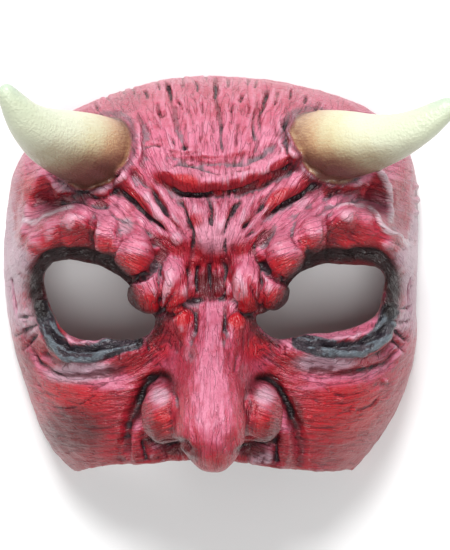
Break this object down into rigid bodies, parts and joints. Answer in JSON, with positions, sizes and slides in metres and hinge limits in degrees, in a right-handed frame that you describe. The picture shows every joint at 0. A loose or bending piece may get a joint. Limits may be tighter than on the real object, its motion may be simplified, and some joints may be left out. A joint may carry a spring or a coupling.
{
  "type": "costume mask",
  "caption": "Half-face devil mask cast in latex, with curved horns, lumpy knitted brows, open eye holes and a long hooked nose, open at the back and cut off above the mouth.",
  "frame": {"origin": "under the middle of the bounding box in plan, on the plane of the back rim that the mask lies on", "axes": "+Z out of the face, +Y towards the forehead and horns, +X to the right as the face is looked at"},
  "size_m": [0.1514, 0.1378, 0.1064],
  "materials": {
    "mask": "satin, hand painted latex"
  },
  "bodies": {
    "root": {"demon_mask": "mask"}
  },
  "joints": []
}
